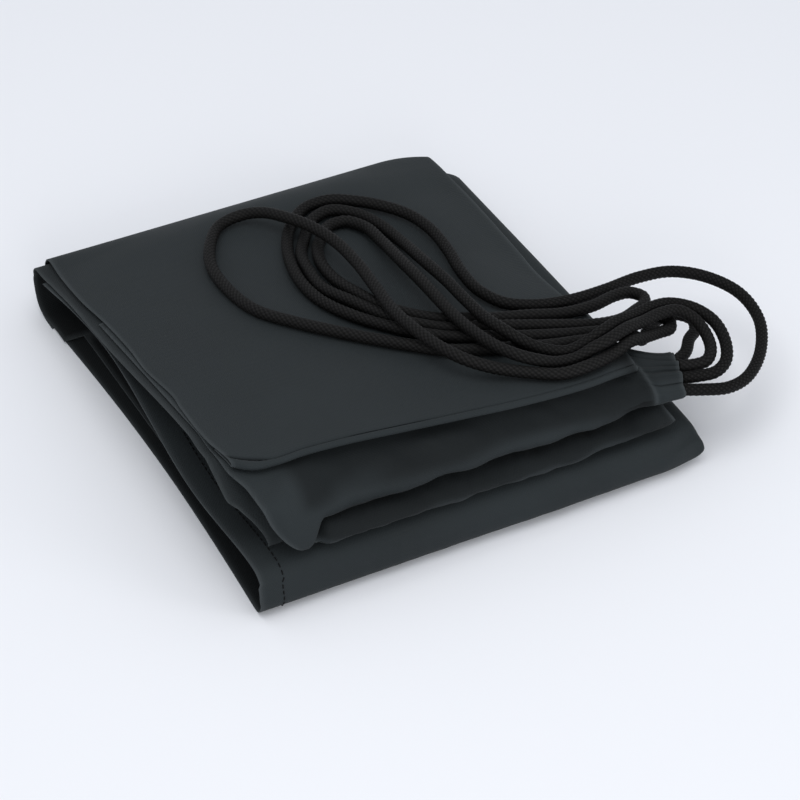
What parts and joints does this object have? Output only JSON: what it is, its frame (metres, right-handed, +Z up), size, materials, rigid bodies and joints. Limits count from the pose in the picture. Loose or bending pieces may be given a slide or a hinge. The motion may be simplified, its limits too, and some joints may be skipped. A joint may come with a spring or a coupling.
{
  "type": "folded drawcord sleeve for an agility tunnel",
  "caption": "Charcoal woven tunnel sleeve folded flat, with a stitched open end and a gathered corner whose long black braided drawcords lie looped on top.",
  "frame": {"origin": "middle of the folded sleeve's outline, without its cords, on the surface that it lies on", "axes": "+Z up, +X from the open hemmed end to the gathered corner, -Y towards the rolled front, +Y towards the back fold"},
  "size_m": [0.3095, 0.2662, 0.071],
  "materials": {
    "fabric": "matt plain weave with a soft sheen",
    "fabric_inside": "matt plain weave",
    "thread": "twisted sewing thread",
    "cord": "braided, slightly shiny"
  },
  "bodies": {
    "lower_fold": {"base_panel": "fabric", "base_lining": "fabric_inside", "hem_stitching": "thread"},
    "upper_fold": {"top_panel": "fabric", "roll_panel": "fabric", "under_panel": "fabric_inside", "channel_roll": "fabric", "gathered_mouth": "fabric", "drawcord_a": "cord", "drawcord_b": "cord"}
  },
  "joints": [
    {"name": "unfold", "type": "hinge", "parent": "lower_fold", "child": "upper_fold", "pos_m": [0, 0.1332, 0.02], "axis": [-1, 0, 0], "range_deg": [0, 160]}
  ]
}
